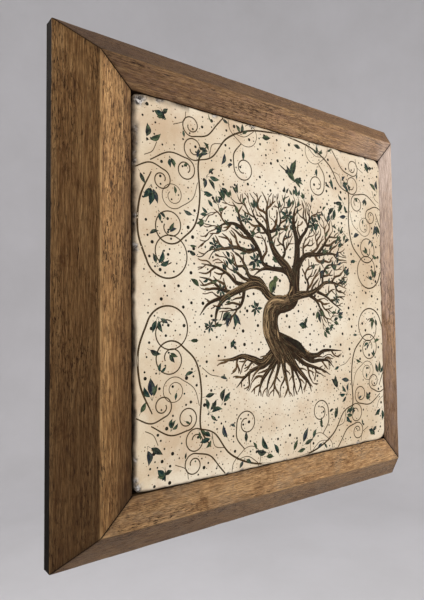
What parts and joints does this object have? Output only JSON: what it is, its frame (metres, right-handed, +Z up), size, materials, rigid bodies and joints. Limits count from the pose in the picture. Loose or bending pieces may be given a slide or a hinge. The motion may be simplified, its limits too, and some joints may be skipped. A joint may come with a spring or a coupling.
{
  "type": "framed clay tile plaque",
  "caption": "Square clay tile with a printed tree of life, set in a mitred, chamfered wooden frame that hangs flat on a wall.",
  "frame": {"origin": "where a wall nail holds the hanger: the top of its middle notch across and upwards, in the plane of the rails' rear faces", "axes": "+Z up, -Y out of the wall towards the viewer, +X to the viewer's right"},
  "size_m": [0.405, 0.043, 0.405],
  "materials": {
    "stained_wood": "stained open-grained wood, satin, worn pale along its arrises",
    "clay": "tumbled cream clay with a matt printed picture",
    "adhesive": "cured white construction adhesive",
    "hardboard": "smooth brown hardboard",
    "steel": "zinc-plated",
    "brass_plate": "brass-plated pressed strip",
    "felt": "dark pressed felt"
  },
  "bodies": {
    "root": {"rail_top": "stained_wood", "rail_right": "stained_wood", "rail_bottom": "stained_wood", "rail_left": "stained_wood", "clay_tile": "clay", "backing_board": "hardboard", "adhesive_bead_top": "adhesive", "adhesive_bead_right": "adhesive", "adhesive_bead_bottom": "adhesive", "adhesive_bead_left": "adhesive", "v_nail_top_right_outer": "steel", "v_nail_top_right_inner": "steel", "v_nail_bottom_right_outer": "steel", "v_nail_bottom_right_inner": "steel", "v_nail_bottom_left_outer": "steel", "v_nail_bottom_left_inner": "steel", "v_nail_top_left_outer": "steel", "v_nail_top_left_inner": "steel", "board_screw_top_1": "steel", "board_screw_top_2": "steel", "board_screw_right_1": "steel", "board_screw_right_2": "steel", "board_screw_bottom_1": "steel", "board_screw_bottom_2": "steel", "board_screw_left_1": "steel", "board_screw_left_2": "steel", "sawtooth_hanger": "brass_plate", "hanger_screw_left": "steel", "hanger_screw_right": "steel", "felt_bumper_left": "felt", "felt_bumper_right": "felt"}
  },
  "joints": []
}
